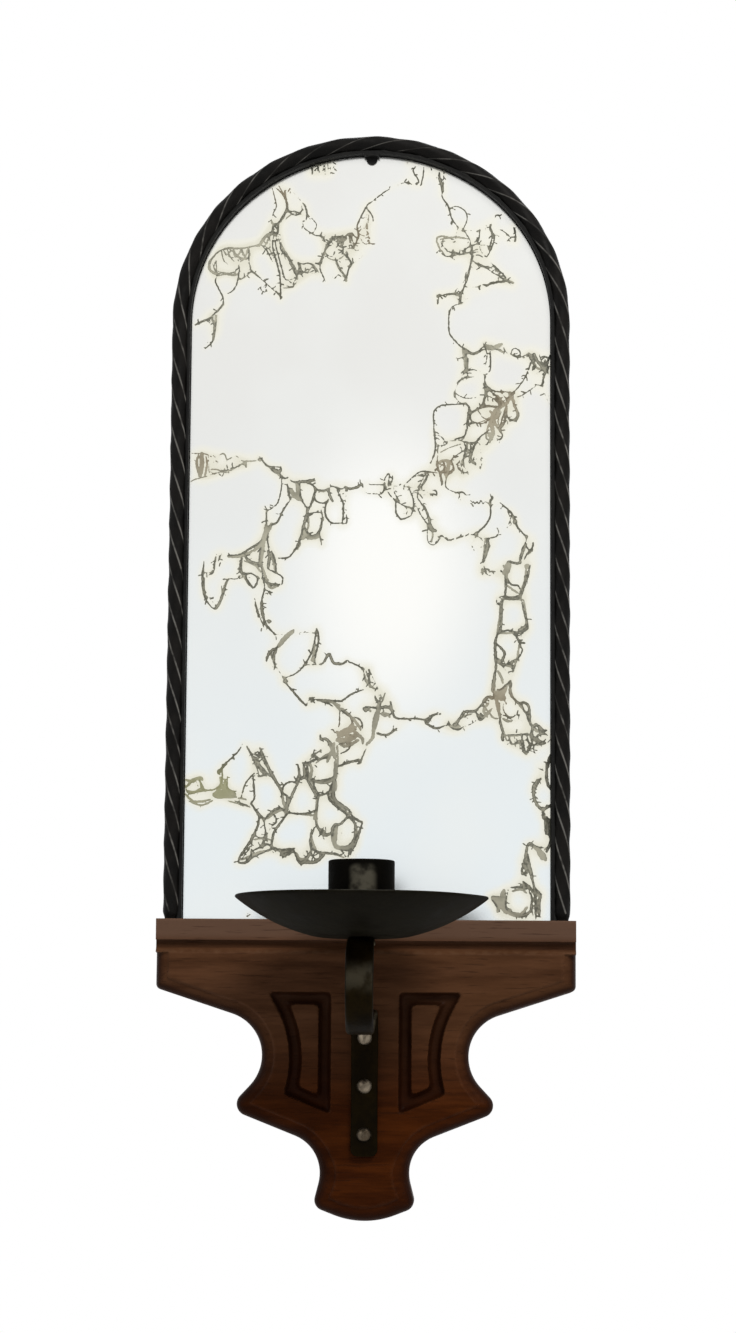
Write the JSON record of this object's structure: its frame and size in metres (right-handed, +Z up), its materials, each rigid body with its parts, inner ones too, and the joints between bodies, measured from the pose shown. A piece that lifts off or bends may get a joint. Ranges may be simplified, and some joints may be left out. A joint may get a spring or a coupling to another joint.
{
  "type": "mirrored candle sconce",
  "caption": "Arched antiqued wall mirror edged with twisted iron bar, on a carved wooden bracket whose bent iron arm holds a dished drip pan and a candle cup.",
  "frame": {"origin": "centre of the hanging hole on the wall plane, on the middle plane of the sconce", "axes": "+X to the right seen from the front, -Y out of the wall towards the viewer, +Z up; the wall is the plane y = 0"},
  "size_m": [0.1782, 0.1324, 0.4712],
  "materials": {
    "mahogany": "dark red-brown stain, worn semi-gloss varnish",
    "black_iron": "forge-black, waxed, grey on the rubbed ridges",
    "pan_iron": "olive-black, matt, lighter at the rim",
    "tray_sheet": "dark grey sheet, matt",
    "silvered_glass": "antiqued silvering with brown-grey veins",
    "hardboard": "bare brown board",
    "bright_steel": "bright, slightly tarnished"
  },
  "bodies": {
    "root": {"wood_bracket": "mahogany", "frame_bar": "black_iron", "mirror_tray": "tray_sheet", "mirror_glass": "silvered_glass", "backing_board": "hardboard", "glass_clip": "black_iron", "arm_strap": "black_iron", "arm_screws": "bright_steel", "drip_pan": "pan_iron", "candle_cup": "pan_iron", "cup_rivet": "black_iron", "flange_screws": "bright_steel", "hanger_plate": "tray_sheet", "hanger_rivets": "bright_steel"}
  },
  "joints": []
}
